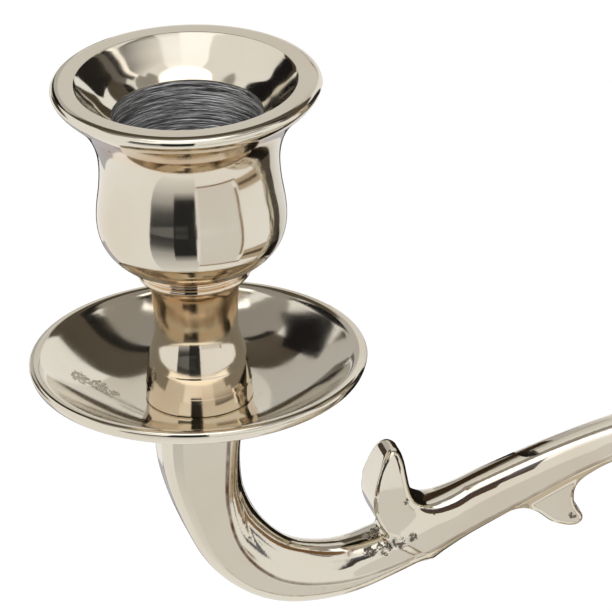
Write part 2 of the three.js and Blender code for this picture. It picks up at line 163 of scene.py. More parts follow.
def mesh_object(name, places, faces, sharp=30):
    """A mesh in millimetres becomes an object in metres, merged, smooth, with its sharp edges kept."""
    mesh = bpy.data.meshes.new(name)
    mesh.from_pydata([tuple(p) for p in places], [], [tuple(f) for f in faces])
    form = bmesh.new()
    form.from_mesh(mesh)
    bmesh.ops.remove_doubles(form, verts=form.verts, dist=1e-4)
    bmesh.ops.dissolve_degenerate(form, edges=form.edges, dist=1e-4)
    bmesh.ops.recalc_face_normals(form, faces=form.faces)
    for face in form.faces:
        face.smooth = True
    for edge in form.edges:
        edge.smooth = edge.calc_face_angle(0) < math.radians(sharp)
    form.to_mesh(mesh)
    form.free()
    mesh.transform(Matrix.Scale(MM, 4))
    return add_object(name, mesh)


def ring_faces(rings, sides):
    """Quads that join rings of points, each ring to the next."""
    faces = []
    for i in range(rings - 1):
        for j in range(sides):
            k = (j + 1) % sides
            faces.append((i * sides + j, i * sides + k, (i + 1) * sides + k, (i + 1) * sides + j))
    return faces


def turned(name, outline, place, sides):
    """An outline of radius and height, turned about the vertical through place."""
    outline = np.asarray(outline, float)
    angles = np.arange(sides) * 2 * math.pi / sides
    radius, height = outline[:, :1], outline[:, 1:]
    x = place[0] + radius * np.cos(angles)
    y = place[1] + radius * np.sin(angles)
    z = place[2] + np.repeat(height, sides, axis=1)
    places = np.stack([x, y, z], axis=2).reshape(-1, 3)
    thing = mesh_object(name, places, ring_faces(len(outline), sides))
    thing.modifiers.new("even_shading", "WEIGHTED_NORMAL").keep_sharp = True
    return thing


def points_of(mesh):
    places = np.empty(len(mesh.vertices) * 3)
    mesh.vertices.foreach_get("co", places)
    return places.reshape(-1, 3)


def keep(thing, name, values):
    """Each point of the thing keeps a value for the finish to read."""
    values = values.astype(np.float32)
    thing.data.attributes.new(name, "FLOAT", "POINT").data.foreach_set("value", values)


def box_mm(node_name):
    low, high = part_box(node_name)
    return np.array(low) / MM, np.array(high) / MM


def place_of(node_name, at_top):
    """The point on a node's vertical axis at its top or its foot."""
    low, high = box_mm(node_name)
    middle = (low + high) / 2
    return middle[0], middle[1], high[2] if at_top else low[2]


def stand_for(thing, body, node_name):
    """The thing rides on a body and takes the place of a node."""
    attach(thing, body)
    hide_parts(node_name)


# Materials

def feed(tree, made, inputs):
    """Each input of a node gets a link from another node's output, or a plain value."""
    for key, value in inputs.items():
        if isinstance(value, bpy.types.NodeSocket):
            tree.links.new(value, made.inputs[key])
        else:
            made.inputs[key].default_value = value


def node(tree, kind, inputs=None, **settings):
    made = tree.nodes.new(kind)
    for key, value in settings.items():
        setattr(made, key, value)
    feed(tree, made, inputs or {})
    return made


def clear_tree(owner):
    """The empty node tree of a material or a world."""
    owner.use_nodes = True
    owner.node_tree.nodes.clear()
    return owner.node_tree


def new_material(name):
    """A material without a finish yet: itself, its tree, its shader and the coordinates."""
    material = bpy.data.materials.new(name)
    tree = clear_tree(material)
    shader = node(tree, "ShaderNodeBsdfPrincipled")
    node(tree, "ShaderNodeOutputMaterial", {"Surface": shader.outputs[0]})
    coordinates = node(tree, "ShaderNodeTexCoord").outputs["Object"]
    return material, tree, shader, coordinates


def math_node(tree, operation, a, b=0.0, clamp=False):
    return node(tree, "ShaderNodeMath", {0: a, 1: b}, operation=operation, use_clamp=clamp).outputs[0]


def noise_node(tree, vector, scale, detail, roughness=0.5):
    return node(tree, "ShaderNodeTexNoise", {
        "Vector": vector, "Scale": scale, "Detail": detail, "Roughness": roughness,
    }).outputs["Fac"]


def remap(tree, value, low, high, to_low=0.0, to_high=1.0, smooth=False):
    return node(tree, "ShaderNodeMapRange", {
        "Value": value, "From Min": low, "From Max": high, "To Min": to_low, "To Max": to_high,
    }, interpolation_type="SMOOTHSTEP" if smooth else "LINEAR").outputs[0]


def bump(tree, height, distance, after=None):
    """Raises the surface by a height times a distance in metres, over what other bumps raised before."""
    inputs = {"Height": height, "Distance": distance}
    if after is not None:
        inputs["Normal"] = after
    return node(tree, "ShaderNodeBump", inputs).outputs[0]


def mix_colour(tree, factor, a, b):
    return node(tree, "ShaderNodeMix", {0: factor, 6: a, 7: b}, data_type="RGBA").outputs[2]


def stretched(tree, coordinates, scale, turn=(0, 0, 0)):
    return node(tree, "ShaderNodeMapping", {
        "Vector": coordinates, "Scale": scale, "Rotation": turn,
    }).outputs[0]


NICKEL = (0.715, 0.665, 0.560, 1)
NICKEL_WARM = (0.680, 0.600, 0.480, 1)
# Painted reflection: the warm copper tone put into the cup's hollows
NICKEL_COPPER_REFLECTION = (0.760, 0.575, 0.400, 1)
PIT_DIRT = (0.06, 0.045, 0.035, 1)
# Painted shade: the dark brown of the line along the seam's crease
SEAM_PAINTED_SHADE = (0.11, 0.055, 0.028, 1)
# Painted shade and highlight of the bore's cuts
BORE_SHADE = (0.17, 0.17, 0.175, 1)
BORE_HIGHLIGHT = (0.86, 0.86, 0.86, 1)
ZINC_DARK = (0.40, 0.41, 0.43, 1)
ZINC_PALE = (0.60, 0.60, 0.58, 1)
FELT_DARK = (0.010, 0.018, 0.013, 1)
FELT_PALE = (0.052, 0.078, 0.060, 1)

# How high the surfaces' relief is, in metres
WAVE_HEIGHT = 0.00009
RIPPLE_HEIGHT = 0.0000032
HAIR_HEIGHT = 0.0000006
PIT_HEIGHT = -0.00004
SEAM_HEIGHT = 0.00005
BORE_CUT_HEIGHT = 0.00006
ZINC_HEIGHT = 0.00001
FELT_HEIGHT = 0.0004


def near(tree, coordinates, spots):
    """1 close to any of the spots, each a place and a reach in millimetres, fading to 0."""
    total = None
    for place, reach in spots:
        away = node(tree, "ShaderNodeVectorMath", {
            0: coordinates, 1: [c * MM for c in place],
        }, operation="DISTANCE").outputs["Value"]
        part = remap(tree, away, reach * MM, reach * 0.3 * MM, smooth=True)
        total = part if total is None else math_node(tree, "MAXIMUM", total, part)
    return total


def painted_copper_reflection(tree, coordinates, colour):
    """Painted warm reflection: a copper tone, as strong as the mesh says at each point."""
    painted_share = node(tree, "ShaderNodeAttribute", attribute_name="copper_reflection").outputs["Fac"]
    patchy = remap(tree, noise_node(tree, coordinates, 190.0, 3.0, 0.6), 0.3, 0.7, 0.55, 1.0)
    return mix_colour(tree, math_node(tree, "MULTIPLY", painted_share, patchy), colour, NICKEL_COPPER_REFLECTION)


def pits(tree, coordinates, marks):
    """1 in the pits: a few fine ones all over the casting and ragged groups at the marks."""
    cells = node(tree, "ShaderNodeTexVoronoi", {"Vector": coordinates, "Scale": 260.0})
    size = node(tree, "ShaderNodeSeparateColor", {0: cells.outputs["Color"]}).outputs[0]
    threshold = remap(tree, size, 0.80, 1.0, 0.0, 0.09)
    dot = math_node(tree, "LESS_THAN", cells.outputs["Distance"], threshold)
    if marks:
        close = near(tree, coordinates, marks)
        jumble = noise_node(tree, coordinates, 1500.0, 3.0, 0.7)
        rag = remap(tree, math_node(tree, "MULTIPLY", close, jumble), 0.45, 0.52)
        dot = math_node(tree, "MAXIMUM", dot, rag)
    return dot


def seam_line(tree, coordinates):
    """1 on the line of the mould seam, and how dark the painted shade along it shows, darkest at the upright
    root of the arm.
    """
    away = node(tree, "ShaderNodeAttribute", attribute_name="seam").outputs["Fac"]
    away = math_node(tree, "ABSOLUTE", away)
    line = remap(tree, away, 0.42, 0.10, smooth=True)
    across = node(tree, "ShaderNodeSeparateXYZ", {0: coordinates}).outputs["X"]
    upright = remap(tree, math_node(tree, "ABSOLUTE", across), 0.088, 0.098, 0.45, 1.0)
    painted_share = remap(tree, noise_node(tree, coordinates, 300.0, 3.0), 0.35, 0.6, 0.45, 1.0)
    return line, math_node(tree, "MULTIPLY", painted_share, upright)


def nickel(name, wave, rough=0.075, marks=(), seam=False, copper_reflection=False, dirt=0.85):
    """Warm polished nickel: slow waves from hand polishing, fine hairlines, casting pits at marks, painted
    shade along the arm's seam and painted copper reflection in the cup's hollows.
    """
    material, tree, shader, coordinates = new_material(name)
    cloud = noise_node(tree, coordinates, 55.0, 3.0)
    colour = mix_colour(tree, remap(tree, cloud, 0.42, 0.78), NICKEL, NICKEL_WARM)
    # Painted warm reflection, in the cup's hollows
    if copper_reflection:
        colour = painted_copper_reflection(tree, coordinates, colour)
    hair = noise_node(tree, stretched(tree, coordinates, (2600, 2600, 90), (0.4, 0.2, 0.3)), 1.0, 2.0)
    smear = noise_node(tree, coordinates, 140.0, 4.0, 0.6)
    roughness = math_node(tree, "ADD", remap(tree, smear, 0.3, 0.75, rough * 0.6, rough * 1.7),
                          remap(tree, hair, 0.55, 0.8, 0.0, 0.05))
    surface = bump(tree, noise_node(tree, coordinates, 62.0, 1.0), WAVE_HEIGHT * wave)
    surface = bump(tree, noise_node(tree, coordinates, 420.0, 2.0), RIPPLE_HEIGHT * wave, surface)
    surface = bump(tree, hair, HAIR_HEIGHT, surface)
    dot = pits(tree, coordinates, marks)
    surface = bump(tree, dot, PIT_HEIGHT, surface)
    colour = mix_colour(tree, math_node(tree, "MULTIPLY", dot, dirt), colour, PIT_DIRT)
    roughness = math_node(tree, "MAXIMUM", roughness, math_node(tree, "MULTIPLY", dot, 0.45))
    if seam:
        # The seam's relief is a bump; its dark brown is painted shade along the crease
        line, painted_share = seam_line(tree, coordinates)
        surface = bump(tree, line, SEAM_HEIGHT, surface)
        colour = mix_colour(tree, math_node(tree, "MULTIPLY", line, painted_share), colour, SEAM_PAINTED_SHADE)
    feed(tree, shader, {"Metallic": 1.0, "Base Color": colour, "Roughness": roughness, "Normal": surface})
    return material


# Cuts of the boring tool: how they lean, and their scale along x, y and z
BORE_CUTS = [
    ((0.10, 0.05, 0), (210, 210, 3900)),
    ((-0.14, 0.08, 0.5), (260, 260, 3100)),
    ((0.02, -0.12, 1.1), (120, 120, 6400)),
]


def bored_metal(name):
    """The candle bore as the boring tool left it: dull and grey, scored all round by short uneven cuts, with
    painted shade and highlight along them.
    """
    material, tree, shader, coordinates = new_material(name)
    chatter = noise_node(tree, stretched(tree, coordinates, (160, 160, 420)), 1.0, 3.0, 0.6)
    total = None
    for turn, scale in BORE_CUTS:
        cut = noise_node(tree, stretched(tree, coordinates, scale, turn), 1.0, 2.5, 0.6)
        cut = remap(tree, cut, 0.50, 0.68)
        total = cut if total is None else math_node(tree, "ADD", total, cut)
    shade = math_node(tree, "ADD", math_node(tree, "MULTIPLY", total, 0.75),
                      math_node(tree, "MULTIPLY", chatter, 0.4))
    # Painted shade and highlight: the cuts run from dark to bright in the colour
    colour = mix_colour(tree, remap(tree, shade, 0.1, 1.3), BORE_SHADE, BORE_HIGHLIGHT)
    feed(tree, shader, {
        "Metallic": 1.0, "Base Color": colour,
        "Roughness": remap(tree, chatter, 0.3, 0.7, 0.34, 0.5),
        "Normal": bump(tree, total, BORE_CUT_HEIGHT),
    })
    return material


def zinc_steel(name):
    """Zinc-plated steel: grey, cloudy and a little dull."""
    material, tree, shader, coordinates = new_material(name)
    cloud = noise_node(tree, coordinates, 420.0, 4.0, 0.6)
    feed(tree, shader, {
        "Metallic": 1.0, "Base Color": mix_colour(tree, cloud, ZINC_DARK, ZINC_PALE),
        "Roughness": remap(tree, cloud, 0.3, 0.7, 0.26, 0.44), "Normal": bump(tree, cloud, ZINC_HEIGHT),
    })
    return material


def felt(name):
    """Dark green felt with its fluff."""
    material, tree, shader, coordinates = new_material(name)
    fluff = noise_node(tree, coordinates, 2400.0, 5.0, 0.75)
    patch = noise_node(tree, coordinates, 120.0, 3.0)
    blend = math_node(tree, "ADD", math_node(tree, "MULTIPLY", fluff, 0.7),
                      math_node(tree, "MULTIPLY", patch, 0.3))
    feed(tree, shader, {
        "Base Color": mix_colour(tree, blend, FELT_DARK, FELT_PALE), "Roughness": 0.95,
        "Sheen Weight": 0.5, "Normal": bump(tree, fluff, FELT_HEIGHT),
    })
    return material


# Candle cups

def cup_outline():
    """The cup with its neck and collar in one, from the floor of the bore over the rim to the foot."""
    bore = [(0, -CANDLE_DEPTH), (CANDLE_R - 0.5, -CANDLE_DEPTH), (CANDLE_R, -CANDLE_DEPTH + 0.5),
            (CANDLE_R, -MOUTH_DEPTH - 0.15)]
    funnel = run([(CANDLE_R + 0.05, -MOUTH_DEPTH), (CANDLE_R + 1.7, -4.1), (CANDLE_R + 3.0, -2.75),
                  (CANDLE_R + 4.3, -1.4), (CANDLE_R + 5.35, -0.25)], 4)
    land = [(17.0, -0.04), (17.2, 0), (19.25, 0)]
    skin = run([(19.35, -0.01), (20.1, -0.2), (20.6, -0.8), (20.35, -1.55), (19.5, -2.6), (18.1, -3.9),
                (16.3, -5.9), (14.9, -8.3), (14.05, -10.9), (13.75, -13.7), (13.95, -17.2), (14.35, -20.0),
                (14.5, -22.3), (14.3, -24.3), (13.7, -26.1), (12.65, -27.7), (11.2, -29.0),
                (9.5, -29.95), (8.1, -30.3)], 6)
    ring = run([(8.35, -30.35), (8.62, -30.6), (8.65, -30.85), (8.45, -31.05), (8.3, -31.15)], 4, 1)
    bead = run([(8.4, -31.3), (8.68, -31.6), (8.7, -31.95), (8.35, -32.35), (7.75, -32.65)], 4, 1)
    neck = run([(7.45, -32.8), (7.0, -33.6), (6.7, -35.2), (6.5, -37.4), (6.38, -39.6), (6.42, -41.3),
                (6.62, -42.7), (7.0, -44.1), (7.4, -45.5), (7.72, -46.85)], 6)
    foot = [(7.8, -47.05), (7.98, -49.95), (8.08, -50.15), (8.12, -50.4), (8.2, -52.9),
            (8.05, -CUP_HEIGHT), (STUD_HOLE_R, -CUP_HEIGHT)]
    hole_top = -(CUP_HEIGHT - STUD_IN_CUP - SEAT_GAP)
    hole = [(STUD_HOLE_R, hole_top), (0, hole_top)]
    return np.vstack([bore, funnel, land, skin, ring, bead, neck, foot, hole])


# How much painted copper reflection the cup takes at each depth below the rim, 0 to 1: most in the hollows
COPPER_REFLECTION_DEPTHS = [
    (1.5, 0), (3.2, 0.7), (6.5, 0.7), (8.5, 0), (26.5, 0), (29, 1), (32.2, 0.5), (33, 1), (36.5, 0.9),
    (38.5, 0.15), (46.9, 0.1), (47.2, 0.5), (53, 0.6),
]


def mark_copper_reflection(cup, axis, rim_height):
    """How much painted copper reflection each point of the cup takes, and 0 inside the mouth and the bore."""
    places = points_of(cup.data) / MM
    depth = rim_height - places[:, 2]
    reach = np.hypot(places[:, 0] - axis[0], places[:, 1] - axis[1])
    copper_reflection = np.interp(depth, *zip(*COPPER_REFLECTION_DEPTHS))
    funnel = CANDLE_R + 1 + np.interp(depth, [0, MOUTH_DEPTH], [6, 0])
    outside = (reach > funnel) | (depth > MOUTH_DEPTH + 10)
    keep(cup, "copper_reflection", np.where(outside, copper_reflection, 0))


def make_cup(side, nickel_skin, bore_skin):
    place = place_of(f"{side}_cup", at_top=True)
    cup = turned(f"{side}_cup_turned", cup_outline(), place, 160)
    mark_copper_reflection(cup, place[:2], place[2])
    cup.data.materials.append(nickel_skin)
    cup.data.materials.append(bore_skin)
    for face in cup.data.polygons:
        x, y, z = face.center / MM
        radius = math.hypot(x - place[0], y - place[1])
        if radius < CANDLE_R + 0.02 and -CANDLE_DEPTH - 0.1 < z - place[2] < -MOUTH_DEPTH + 0.05:
            face.material_index = 1
    stand_for(cup, f"{side}_cup_body", f"{side}_cup")


# Drip pans

def pan_outline():
    """The pan from its foot out along the underside, over the rolled land and down into the dish."""
    floor = -(CUP_HEIGHT + SEAT_GAP)
    crest = floor + PAN_DEPTH
    foot = floor - PAN_FLOOR
    dish_r = COLLAR_R + 0.2
    dish_width = PAN_R - PAN_LAND - dish_r
    dish_foot = floor + 0.26
    dish_rise = PAN_DEPTH - 1.2
    dish = [(dish_r + dish_width * t, dish_foot + dish_rise * t ** DISH_CURVE)
            for t in np.linspace(1, 0, 30)]
    under = run([(PAN_FOOT_R, foot + 0.15), (PAN_FOOT_R + 2.4, foot + 0.75), (12.9, foot + 2.05),
                 (18, foot + 3.6), (22, foot + 5.05), (24.6, foot + 6.1), (25.4, crest - 1.8),
                 (25.75, crest - 1.0), (PAN_R, crest - 0.5), (25.5, crest - 0.12), (24.85, crest),
                 (24.2, crest - 0.14), (23.6, crest - 0.49), dish[0]], 5, 2)
    return np.vstack([[(STUD_HOLE_R, foot), (PAN_FOOT_R - 0.15, foot)], under, dish[1:],
                      [(STUD_HOLE_R, floor + 0.24), (STUD_HOLE_R, foot)]])


def make_pan(side, skin):
    axis = place_of(f"{side}_pan", at_top=False)
    rim = place_of(f"{side}_cup", at_top=True)
    pan = turned(f"{side}_pan_turned", pan_outline(), (axis[0], axis[1], rim[2]), 192)
    pan.data.materials.append(skin)
    stand_for(pan, "root", f"{side}_pan")


# Threaded studs

def make_stud(side, skin):
    """A rod with a single thread cut round it and a small chamfer at each end."""
    low, high = box_mm(f"{side}_stud")
    middle = (low + high) / 2
    length = high[2] - low[2]
    rings_per_mm = 8
    sides = 32
    rings = int(length * rings_per_mm) + 1
    angles = np.arange(sides) * 2 * math.pi / sides
    places = []
    for i in range(rings):
        height = low[2] + length * i / (rings - 1)
        phase = (height / THREAD_PITCH - angles / (2 * math.pi)) % 1
        groove = THREAD_DEPTH * np.abs(2 * phase - 1)
        chamfer = 0.3 if i in (0, rings - 1) else 0.0
        radius = STUD_R - groove - chamfer
        places += [(middle[0] + r * math.cos(a), middle[1] + r * math.sin(a), height)
                   for r, a in zip(radius, angles)]
    faces = ring_faces(rings, sides)
    faces.append(tuple(range(sides)))
    faces.append(tuple(range((rings - 1) * sides, rings * sides)))
    stud = mesh_object(f"{side}_stud_threaded", places, faces, 60)
    stud.data.materials.append(skin)
    stand_for(stud, f"{side}_stud_body", f"{side}_stud")


# Scroll arm

# It is a distance field, negative inside the metal. x runs from the cup's axis to the stem, and z up
# from the arm's top.
ARCH_SPAN = ARM_REACH - SCROLL_END
LEAF_ROOT = -SCROLL_DROP * 0.945
THORN_ROOT = -ARCH_DROP * 1.244


def arm_station(out, drop, depth, width, outer, inner_depth, inner_width, seam, fall=0.0):
    """A section of the arm: half depth and half width, the outer round as a share of the half width,
    the inner round as shares of both, how far the seam lies inwards of the centre line, and how much
    the front falls back above the seam for each millimetre."""
    return out, -drop, depth, width, outer * width, inner_depth * depth, inner_width * width, seam, fall


def scroll_station(out, drop, depth, width, *rest):
    """A section whose drop, half depth and half width are shares of the scroll's."""
    return arm_station(out, SCROLL_DROP * drop, ROOT_HALF_DEPTH * depth, ROOT_HALF_WIDTH * width, *rest)


def arch_station(along, drop, depth, *rest):
    """A section a share of the way along the arch, its drop and half depth shares of the arch's."""
    return arm_station(SCROLL_END + ARCH_SPAN * along, ARCH_DROP * drop, ARCH_HALF_DEPTH * depth,
                       ARCH_HALF_WIDTH, *rest)


# The first section and the last lie outside the arm, so that its line runs past both ends
ARM_STATIONS = np.array([
    arm_station(-0.3, -6, ROOT_HALF_DEPTH, ROOT_HALF_WIDTH, 0.62, 0.38, 0.5, 3.7),
    scroll_station(-0.3, 0, 1, 1, 0.62, 0.38, 0.5, 3.7),
    scroll_station(-0.7, 0.26, 0.96, 1, 0.6, 0.43, 0.54, 3.4, 0.05),
    scroll_station(0.95, 0.53, 0.865, 0.94, 0.53, 0.67, 0.69, 1.7, 0.25),
    scroll_station(4.75, 0.78, 0.85, 0.88, 0.44, 0.89, 0.91, 0.1, 0.36),
    scroll_station(10.8, 0.945, 0.78, 0.86, 0.34, 1, 0.95, -0.7, 0.36),
    scroll_station(19.5, 1, 0.665, 0.845, 0.32, 0.98, 0.95, -1.0, 0.26),
    scroll_station(LEAF_OUT, 0.945, 0.585, 0.83, 0.32, 0.9, 0.93, -1.6, 0.05),
    scroll_station(SCROLL_END, 0.737, 0.575, 0.75, 0.34, 0.86, 0.93, -2.3),
    arch_station(0.367, 1.083, 1, 0.38, 0.87, 0.97, -1.7),
    arch_station(0.56, 1, 1, 0.38, 0.8, 0.97, -1.6),
    arch_station(0.74, 1.103, 1.04, 0.38, 0.8, 0.97, -1.7),
    arm_station(ARM_REACH - ARCH_SPAN * 0.12, ARCH_DROP * 1.32, ARCH_HALF_DEPTH * 1.22,
                END_HALF_WIDTH * 0.86, 0.4, 0.78, 0.87, -2.0),
    arm_station(ARM_REACH, HUB_DROP, END_HALF_DEPTH, END_HALF_WIDTH, 0.45, 0.67, 0.73, -2.4),
    arm_station(ARM_REACH + 4, HUB_DROP + 3.2, END_HALF_DEPTH, END_HALF_WIDTH, 0.45, 0.67, 0.73, -2.4),
])


def spur_outline(x, z, height, start, curve, last):
    """A spur's outline, from places given as shares of its height. The first and the last lie inside
    the arm."""
    side = spline(curve, 7)
    return np.vstack([[start], side, [last]]) * height + [x, z]


def leaf_outline():
    curve = [(0.075, 0.125), (-0.035, 0.26), (-0.115, 0.45), (-0.11, 0.635), (-0.04, 0.845),
             (0.03, 0.965), (0.1, 1.0), (0.16, 0.965), (0.193, 0.87), (0.21, 0.75), (0.227, 0.63),
             (0.27, 0.51), (0.35, 0.42), (0.48, 0.365), (0.653, 0.34)]
    return spur_outline(LEAF_OUT, LEAF_ROOT, LEAF_HEIGHT, (0.4, -0.06), curve, (0.625, 0.17))


def thorn_outline():
    curve = [(-0.894, -0.52), (-0.558, -0.683), (-0.298, -0.904), (0.01, -1.0), (0.135, -0.95), (0.16, -0.86),
             (0.08, -0.72), (0.03, -0.56), (0.087, -0.327), (0.404, -0.106), (0.72, 0.02)]
    return spur_outline(THORN_OUT, THORN_ROOT, THORN_HEIGHT, (-0.865, -0.19), curve, (0.385, 0.24))


def to_line(points, line):
    """For each point its distance to a broken line, positive on its left, and where along it that is."""
    start, step = line[:-1], line[1:] - line[:-1]
    long = (step ** 2).sum(1)
    best = np.empty(len(points))
    where = np.empty(len(points))
    for first in range(0, len(points), 4096):
        p = points[first:first + 4096]
        dx = p[:, :1] - start[:, 0]
        dz = p[:, 1:] - start[:, 1]
        share = np.clip((dx * step[:, 0] + dz * step[:, 1]) / long, 0, 1)
        away = (dx - share * step[:, 0]) ** 2 + (dz - share * step[:, 1]) ** 2
        close = away.argmin(1)
        rows = np.arange(len(p))
        left = step[close, 0] * dz[rows, close] - step[close, 1] * dx[rows, close]
        best[first:first + 4096] = np.sqrt(away[rows, close]) * np.where(left < 0, -1, 1)
        where[first:first + 4096] = close + share[rows, close]
    return best, where


def inside(points, outline):
    """Whether each point lies inside a closed outline."""
    x, z = points[:, :1], points[:, 1:]
    ax, az = outline[:, 0], outline[:, 1]
    bx, bz = np.roll(ax, -1), np.roll(az, -1)
    crosses = (az > z) != (bz > z)
    with np.errstate(divide="ignore", invalid="ignore"):
        at_x = ax + (z - az) * (bx - ax) / (bz - az)
    return (crosses & (x < at_x)).sum(1) % 2 == 1


def to_outline(points, outline):
    """Signed distance to a closed outline, negative inside."""
    away = np.abs(to_line(points, np.vstack([outline, outline[:1]]))[0])
    return np.where(inside(points, outline), -away, away)


def both(a, b, corner):
    """What is inside a and b, with the edge between them rounded."""
    u, v = np.maximum(a + corner, 0), np.maximum(b + corner, 0)
    return np.minimum(np.maximum(a, b) + corner, 0) + np.hypot(u, v) - corner


def either(a, b, fillet):
    """What is inside a or b, with a fillet where they meet."""
    h = np.maximum(fillet - np.abs(a - b), 0) / fillet
    return np.minimum(a, b) - h * h * fillet / 4


ARM_LINE = spline(ARM_STATIONS, 10)
LEAF = leaf_outline()
THORN = thorn_outline()


def arm_section(flat):
    """How far each point lies from the arm's centre line, inwards positive, and the section there."""
    offset, where = to_line(flat, ARM_LINE[:, :2])
    index = np.minimum(where.astype(int), len(ARM_LINE) - 2)
    share = (where - index)[:, None]
    return offset, (ARM_LINE[index, 2:] * (1 - share) + ARM_LINE[index + 1, 2:] * share).T


def band_field(flat, across):
    """The scroll and the arch, without the spurs."""
    offset, section = arm_section(flat)
    depth, width, outer, round_in, round_across, seam, fall = section
    width = width - SEAM_TILT * np.clip(seam - offset, 0, 3) - fall * np.clip(offset - seam, 0, 2.5)
    round_across = np.minimum(round_across, width)
    scale = np.minimum(round_in, round_across)
    top = both((offset - depth) / round_in, (across - width) / round_across, 1) * scale
    return np.maximum(top, both(-offset - depth, across - width, outer))


def leaf_field(points, flat, across):
    """The leaf thins towards its tip and its right side, and its edge is rounder on the right."""
    out = points[:, 0]
    rise = (points[:, 2] - LEAF_ROOT) / LEAF_HEIGHT
    width = LEAF_HALF_WIDTH - np.interp(rise, [0.65, 1.0], [0, 1.15])
    width = width - np.interp(out, [LEAF_OUT + 3, LEAF_OUT + 9], [0, 0.9])
    edge = np.interp(out, [LEAF_OUT - 0.5, LEAF_OUT + 2.6], [0.55, 1.7])
    return both(to_outline(flat, LEAF), across - width, edge)


def tenon_field(points):
    """The round tenon that goes into the hub, its end a little rounded."""
    half_length = TENON_LENGTH / 2 + TENON_SUNK / 2
    middle = ARM_REACH + TENON_LENGTH / 2 - TENON_SUNK / 2
    side = np.hypot(points[:, 1], points[:, 2] + HUB_DROP) - TENON_R
    return both(side, np.abs(points[:, 0] - middle) - half_length, TENON_EDGE)


def stud_hole_field(points):
    side = np.hypot(points[:, 0], points[:, 1]) - STUD_HOLE_R
    return both(side, -(points[:, 2] + STUD_HOLE_DEPTH), 0.1)


def arm_field(points):
    """The whole casting: its band with both spurs, cut flat on top and hollow at the hub, the tenon
    added and the stud's hole taken out."""
    flat = points[:, [0, 2]]
    across = np.abs(points[:, 1])
    arm = band_field(flat, across)
    leaf = leaf_field(points, flat, across)
    thorn = both(to_outline(flat, THORN), across - THORN_HALF_WIDTH, THORN_EDGE)
    arm = either(arm, leaf, np.interp(points[:, 0], [LEAF_OUT - 1, LEAF_OUT + 6], [1.3, 3.4]))
    arm = either(arm, thorn, THORN_FILLET)
    arm = both(arm, points[:, 2], ARM_TOP_EDGE)
    hub = np.hypot(points[:, 0] - (ARM_REACH + HUB_R), points[:, 1]) - (HUB_R + SEAT_GAP)
    arm = both(arm, -hub, HUB_EDGE)
    arm = np.minimum(arm, tenon_field(points))
    return np.maximum(arm, -stud_hole_field(points))


def settled(points, field, rounds=3, step=0.02):
    """Moves points along the field's slope until they lie on its surface."""
    points = points.copy()
    for _ in range(rounds):
        value = field(points)
        slope = np.empty_like(points)
        for axis in range(3):
            shift = np.zeros(3)
            shift[axis] = step
            slope[:, axis] = (field(points + shift) - field(points - shift)) / (2 * step)
        length = np.maximum((slope ** 2).sum(1), 0.25)
        move = np.clip(value / length, -0.8, 0.8)
        points -= slope * move[:, None]
    return points


def mark_seam(arm, turn, shift):
    """How far each point of the arm lies from the mould seam, in millimetres. Points near the arm's
    middle plane, where no seam runs, get a distance out of the seam's reach."""
    middle_half_width = 2.2
    out_of_reach = 9
    places = points_of(arm.data) / MM @ turn - shift
    offset, section = arm_section(places[:, [0, 2]])
    on_side = np.abs(places[:, 1]) > middle_half_width
    keep(arm, "seam", np.where(on_side, offset - section[5], out_of_reach))


def even_quads(mesh, size):
    """A closed mesh recut into even quads of about this size: the corners' places, and the faces."""
    work = add_object("arm_work", mesh)
    cut = work.modifiers.new("even_quads", "REMESH")
    cut.mode = "VOXEL"
    cut.voxel_size = size
    graph = bpy.context.evaluated_depsgraph_get()
    fine = work.evaluated_get(graph).to_mesh()
    places = points_of(fine)
    faces = [tuple(face.vertices) for face in fine.polygons]
    bpy.data.objects.remove(work)
    return places, faces


def make_arm(side, body_turn, skin, quad_size):
    """The frame's arm, recut into fine even quads and laid on the smooth field."""
    rim = place_of(f"{side}_cup", at_top=True)
    top = box_mm(f"{side}_arm")[1][2]
    to_local = Matrix.Rotation(-body_turn, 4, "Z") @ Matrix.Scale(1 / MM, 4)
    cup_place = to_local @ Vector((rim[0] * MM, 0, 0))
    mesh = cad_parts[f"{side}_arm"].data.copy()
    mesh.transform(Matrix.Translation((-cup_place.x, 0, -top)) @ to_local)
    places, faces = even_quads(mesh, quad_size)
    places = settled(places, arm_field)
    wander = np.array([noise.noise(Vector(p) / HAND_WAVE_LENGTH) for p in places])
    places[:, 1] += HAND_WAVE * wander * np.sign(places[:, 1]) * (places[:, 0] < ARM_REACH - 3)
    shift = np.array([cup_place.x, 0, top])
    turn = np.array(Matrix.Rotation(body_turn, 3, "Z"))
    arm = mesh_object(f"{side}_arm_cast", (places + shift) @ turn.T, faces, 50)
    mark_seam(arm, turn, shift)
    arm.data.materials.append(skin)
    stand_for(arm, "root", f"{side}_arm")


# Stem and base

def foot_outline(height):
    lip = BASE_TOP_R - 2
    throat = BASE_TOP_R - 8
    return np.vstack([
        [(ROD_HOLE_R, 0)],
        run([(lip - 0.2, 0), (lip + 0.7, 0.35), (lip + 1, 1.2), (lip + 0.7, 2.05), (lip - 0.1, 2.4)], 5, 1),
        run([(lip - 1.4, 2.7), (lip - 3.4, height * 0.26), (throat + 1.6, height * 0.42),
             (throat, height * 0.74), (throat + 1.4, height - 1.2)], 8),
        [(throat + 1.4, height - 0.15), (throat + 1.25, height), (ROD_HOLE_R, height), (ROD_HOLE_R, 0)]])


def knop_outline(height):
    lip = 1.6
    lip_r = KNOP_R * 0.68
    return np.vstack([
        [(ROD_HOLE_R, 0), (lip_r - 0.2, 0), (lip_r, 0.2), (lip_r, lip - 0.1)],
        run([(lip_r + 0.1, lip), (KNOP_R * 0.93, height * 0.28), (KNOP_R, height * 0.5),
             (KNOP_R * 0.93, height * 0.72), (lip_r + 0.1, height - lip)], 10),
        [(lip_r, height - lip + 0.1), (lip_r, height - 0.2), (lip_r - 0.2, height), (ROD_HOLE_R, height),
         (ROD_HOLE_R, 0)]])


